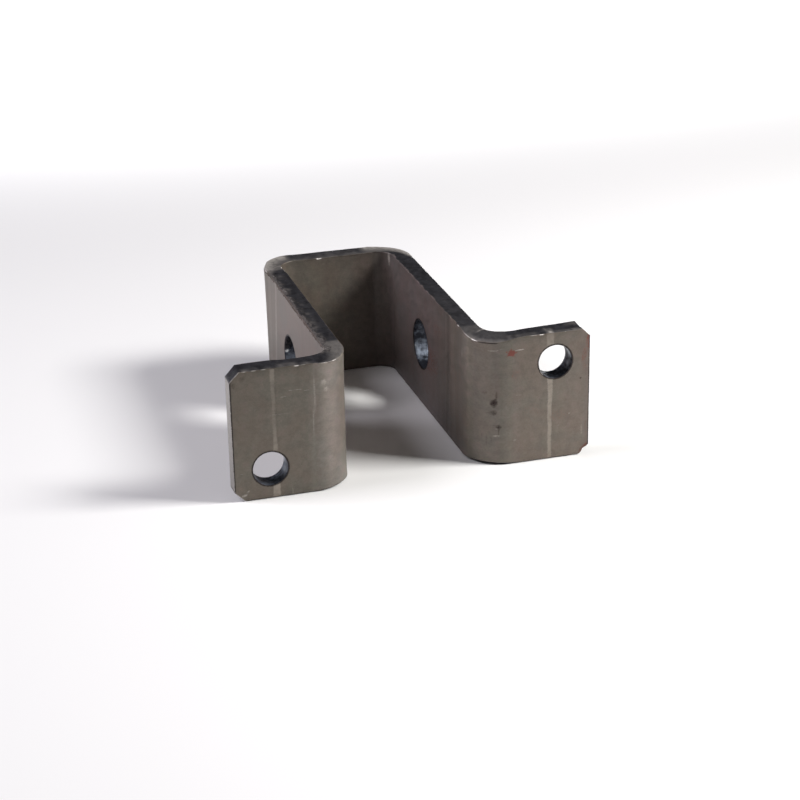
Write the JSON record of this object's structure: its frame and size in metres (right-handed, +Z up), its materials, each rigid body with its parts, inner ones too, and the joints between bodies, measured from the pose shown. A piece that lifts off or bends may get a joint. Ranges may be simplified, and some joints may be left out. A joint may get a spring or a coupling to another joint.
{
  "type": "mounting bracket",
  "caption": "Hat-shaped mounting bracket folded from thick steel strip, with a cross hole through its legs and a bolt hole placed diagonally in each flange.",
  "frame": {"origin": "centre of the bracket's footprint, on the plane of the lower long edge that it stands on", "axes": "+X across the flanges towards the flange whose hole is high, +Y from the flanges' front faces towards the web, +Z up along the strip's width"},
  "size_m": [0.095, 0.082, 0.035],
  "materials": {
    "raw_steel": "raw hot-rolled steel sheet, dull brown-grey mill surface with dark cut edges"
  },
  "bodies": {
    "root": {"bracket": "raw_steel"}
  },
  "joints": []
}
